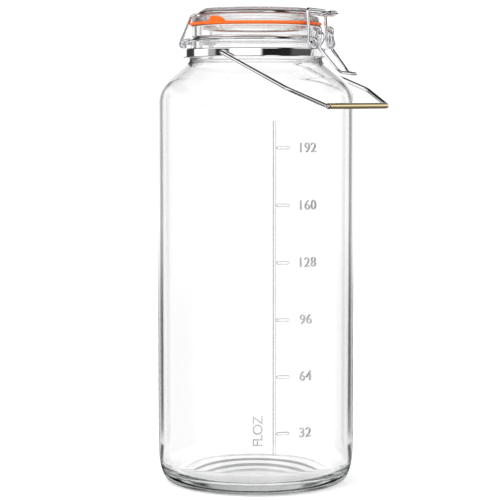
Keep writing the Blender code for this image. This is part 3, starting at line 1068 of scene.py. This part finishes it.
@dataclass
class Studio:
    """White sweep, wrap-round soft light with dark gaps between the panels, and the camera.

    Fields that end in from, to or side are pairs where a part of the direction starts and ends
    its change: the height for all but behind_side, which is the share towards the camera.
    """

    facing: float = 205.7
    key_aside: float = 40.0
    key_out: float = 1.0
    key_height: float = 1.6
    key_aim: float = 0.38
    key_size: float = 0.5
    key_power: float = 14.0
    distance: float = 1.6330
    height: float = 0.3281
    aside: float = -4.94 * MM
    pitch: float = 4.513
    focal_pixels: float = 1902.6
    picture_pixels: float = 500.0
    floor_radius: float = 9.0
    near_radius: float = 0.073
    near_lit: float = 0.4
    fill: float = 0.95
    panels: tuple[Flat, ...] = (
        (-180, 1.25), (-142, 1.25), (-138, 0.05), (-114, 0.05), (-111, 1.25), (-82, 1.25),
        (-79, 0.48), (-68, 0.42), (-64, 0.03), (-44, 0.03), (-40, 1.25), (6, 1.25), (11, 0.012),
        (54, 0.02), (60, 0.09), (99, 0.09), (104, 0.95), (180, 1.25))
    tall_panels: tuple[Flat, ...] = (
        (-180, 1.25), (-142, 1.25), (-136, 0.1), (-116, 0.1), (-108, 1.25), (32, 1.25),
        (40, 0.03), (60, 0.03), (68, 0.9), (180, 1.25))
    low_panels: tuple[Flat, ...] = (
        (-180, 0.9), (-172, 0.9), (-166, 0.05), (-74, 0.04), (-66, 0.9), (-44, 0.9),
        (-36, 0.05), (12, 0.05), (18, 1.1), (34, 1.1), (42, 0.03), (70, 0.03), (78, 0.9),
        (100, 0.9), (108, 0.16), (168, 0.16), (174, 0.9), (180, 0.9))
    gaps: tuple[Flat, ...] = (
        (-180, 1.13), (-177.5, 1.13), (-176, 1.05), (-173, 1.05), (-169, 1.13), (-161, 1.3),
        (-158, 0.25), (-150, 0.12), (-146, 0.2), (-142, 1.2), (142, 1.2), (146, 0.12),
        (157, 0.1), (160, 0.78), (168, 0.88), (173, 1.08), (180, 1.13))
    tall_from: Flat = (0.12, 0.18)
    dark_from: Flat = (0.58, 0.70)
    behind_from: Flat = (0.24, 0.34)
    behind_side: Flat = (0.0, -0.2)
    low_from: Flat = (-0.05, -0.12)
    gaps_from: Flat = (-0.200, -0.185)
    flag_from: Flat = (0.34, 0.40)
    flag_to: Flat = (0.56, 0.62)
    dark: float = 0.03
    flag: float = 0.45
    white: float = 1.2
    backdrop: float = 1.05
    bounces: int = 48

    def floor(self) -> None:
        """Lay the white sweep; glass shows only the round of it that the jar stands on."""
        for name, inner, outer, paper in (
                ("sweep_near", 0.0, self.near_radius, StudioPaper("lit_paper", lit=self.near_lit)),
                ("sweep_far", self.near_radius, self.floor_radius, StudioPaper())):
            bm = bmesh.new()
            rim = bmesh.ops.create_circle(bm, cap_ends=inner == 0.0, segments=96,
                                          radius=outer)["verts"]
            if inner:
                hole = bmesh.ops.create_circle(bm, segments=96, radius=inner)["verts"]
                edges = {e for v in (*rim, *hole) for e in v.link_edges}
                bmesh.ops.bridge_loops(bm, edges=list(edges))
            data = bpy.data.meshes.new(name)
            bm.to_mesh(data)
            bm.free()
            data.materials.append(paper.build())
            floor = bpy.data.objects.new(name, data)
            bpy.context.scene.collection.objects.link(floor)
            floor.visible_glossy = False
            floor.visible_transmission = inner == 0.0

    def ramp(self, tree: bpy.types.NodeTree, turn: bpy.types.NodeSocket,
             stops: Sequence[Flat]) -> bpy.types.NodeSocket:
        """Brightness by bearing.

        Args:
            tree: The world's node tree.
            turn: The bearing, 0 to 1 for -180 to 180 degrees.
            stops: Bearing in degrees and brightness pairs, at most 32.

        Returns:
            The brightness.
        """
        node = tree.nodes.new("ShaderNodeValToRGB")
        band = node.color_ramp
        while len(band.elements) > 1:
            band.elements.remove(band.elements[-1])
        first = band.elements[0]
        first.position = (stops[0][0] + 180) / 360
        first.color = (stops[0][1],) * 3 + (1.0,)
        for bearing, value in stops[1:]:
            element = band.elements.new((bearing + 180) / 360)
            element.color = (value, value, value, 1.0)
        tree.links.new(turn, node.inputs["Fac"])
        return node.outputs["Color"]

    def blend(self, tree: bpy.types.NodeTree, share: bpy.types.NodeSocket,
              under: bpy.types.NodeSocket | float,
              over: bpy.types.NodeSocket | float) -> bpy.types.NodeSocket:
        """Mix two brightnesses.

        Args:
            tree: The world's node tree.
            share: How much of the second is used.
            under: The first, a socket or a number.
            over: The second, a socket or a number.

        Returns:
            The mix.
        """
        node = tree.nodes.new("ShaderNodeMix")
        tree.links.new(share, node.inputs["Factor"])
        for name, value in (("A", under), ("B", over)):
            if isinstance(value, float):
                node.inputs[name].default_value = value
            else:
                tree.links.new(value, node.inputs[name])
        return node.outputs["Result"]

    def light(self) -> None:
        """Surround the jar with soft white light, with dark gaps for metal and glass edges."""
        world = bpy.data.worlds.new("studio_light")
        world.use_nodes = True
        world.cycles.sampling_method = "NONE"
        bpy.context.scene.world = world
        tree = world.node_tree
        coords = tree.nodes.new("ShaderNodeTexCoord")
        turned = tree.nodes.new("ShaderNodeVectorRotate")
        turned.rotation_type = "Z_AXIS"
        turned.inputs["Angle"].default_value = math.radians(-self.facing)
        parts = tree.nodes.new("ShaderNodeSeparateXYZ")
        bearing = tree.nodes.new("ShaderNodeMath")
        bearing.operation = "ARCTAN2"
        scaled = tree.nodes.new("ShaderNodeMath")
        scaled.operation = "MULTIPLY_ADD"
        scaled.inputs[1].default_value = 1 / math.tau
        scaled.inputs[2].default_value = 0.5
        tree.links.new(coords.outputs["Generated"], turned.inputs["Vector"])
        tree.links.new(turned.outputs["Vector"], parts.inputs["Vector"])
        tree.links.new(parts.outputs["Y"], bearing.inputs[0])
        tree.links.new(parts.outputs["X"], bearing.inputs[1])
        tree.links.new(bearing.outputs["Value"], scaled.inputs[0])
        turn = scaled.outputs["Value"]
        paths = tree.nodes.new("ShaderNodeLightPath")
        high, ahead = parts.outputs["Z"], parts.outputs["X"]
        mirror = self.ramp(tree, turn, self.panels)
        for edge, value in ((self.tall_from, self.ramp(tree, turn, self.tall_panels)),
                            (self.dark_from, self.dark)):
            mirror = self.blend(tree, self.step(tree, high, *edge), mirror, value)
        behind = self.product(tree, self.step(tree, high, *self.behind_from),
                              self.step(tree, ahead, *self.behind_side))
        mirror = self.blend(tree, behind, mirror, self.dark)
        mirror = self.blend(tree, self.step(tree, high, *self.low_from), mirror,
                            self.ramp(tree, turn, self.low_panels))
        through = self.blend(tree, self.step(tree, high, *self.gaps_from), self.white,
                             self.ramp(tree, turn, self.gaps))
        for edge, value in ((self.flag_from, self.flag), (self.flag_to, self.white)):
            through = self.blend(tree, self.step(tree, high, *edge), through, value)
        seen = self.blend(tree, paths.outputs["Is Transmission Ray"], mirror, through)
        for kind, value in (("Is Diffuse Ray", self.fill), ("Is Camera Ray", self.backdrop)):
            seen = self.blend(tree, paths.outputs[kind], seen, value)
        tree.links.new(seen, tree.nodes["Background"].inputs["Color"])

    def product(self, tree: bpy.types.NodeTree, one: bpy.types.NodeSocket,
                other: bpy.types.NodeSocket) -> bpy.types.NodeSocket:
        """Multiply two shares, so only what both cover is left."""
        node = tree.nodes.new("ShaderNodeMath")
        node.operation = "MULTIPLY"
        tree.links.new(one, node.inputs[0])
        tree.links.new(other, node.inputs[1])
        return node.outputs["Value"]

    def step(self, tree: bpy.types.NodeTree, source: bpy.types.NodeSocket, start: float,
             end: float) -> bpy.types.NodeSocket:
        """Ease from 0 to 1 as a part of the direction goes from start to end."""
        node = tree.nodes.new("ShaderNodeMapRange")
        node.interpolation_type = "SMOOTHSTEP"
        node.inputs["From Min"].default_value = start
        node.inputs["From Max"].default_value = end
        tree.links.new(source, node.inputs["Value"])
        return node.outputs["Result"]

    def key(self) -> None:
        """Hang a soft lamp high on the camera's left, for lit upper edges."""
        lamp = bpy.data.lights.new("key", "AREA")
        lamp.shape = "DISK"
        lamp.size = self.key_size
        lamp.energy = self.key_power
        light = bpy.data.objects.new("key", lamp)
        bearing = math.radians(self.facing - self.key_aside)
        place = Vector((math.cos(bearing), math.sin(bearing), 0.0)) * self.key_out
        place.z = self.key_height
        aim = Vector((0.0, 0.0, self.key_aim)) - place
        turn = aim.to_track_quat("-Z", "Y").to_matrix().to_4x4()
        light.matrix_world = Matrix.Translation(place) @ turn
        light.visible_glossy = False
        light.visible_transmission = False
        bpy.context.scene.collection.objects.link(light)

    def camera(self) -> None:
        """Stand the camera where the photograph was taken from."""
        data = bpy.data.cameras.new("camera")
        data.sensor_width = 36.0
        data.lens = self.focal_pixels * data.sensor_width / self.picture_pixels
        data.clip_end = 60.0
        eye = bpy.data.objects.new("camera", data)
        bearing = math.radians(self.facing - 180)
        away = Vector((math.cos(bearing), math.sin(bearing), 0.0))
        right = Vector((away.y, -away.x, 0.0))
        tilt = math.radians(self.pitch)
        look = away * math.cos(tilt) - Vector((0, 0, math.sin(tilt)))
        frame = Matrix((right, right.cross(look), -look)).transposed().to_4x4()
        place = right * self.aside - away * self.distance + Vector((0, 0, self.height))
        eye.matrix_world = Matrix.Translation(place) @ frame
        bpy.context.scene.collection.objects.link(eye)
        bpy.context.scene.camera = eye

    def build(self) -> None:
        """Set up floor, light, colour handling and camera.

        Light that runs along the thick glass of the heel turns many times before it comes out.
        """
        bpy.context.scene.view_settings.view_transform = "Standard"
        light_paths = bpy.context.scene.cycles
        light_paths.max_bounces = self.bounces
        light_paths.transmission_bounces = self.bounces
        light_paths.glossy_bounces = self.bounces
        self.floor()
        self.light()
        self.key()
        self.camera()


def corners(box: tuple[Vector, Vector]) -> list[list[float]]:
    """A box's two corners as plain lists."""
    return [list(map(float, corner)) for corner in box]


def main() -> None:
    """Load the frame, dress every piece and set up the studio."""
    logging.basicConfig(level=logging.INFO, format="%(message)s")
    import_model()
    Studio().build()
    dresser = Dresser(Finishes())
    for assembly in (JarBody(), FillScale(), NeckBand(), Lid(), SealingRing(), Clamp(),
                     Handle()):
        assembly.build(dresser)
        LOG.info("%s built", type(assembly).__name__)


if __name__ == "__main__":
    main()
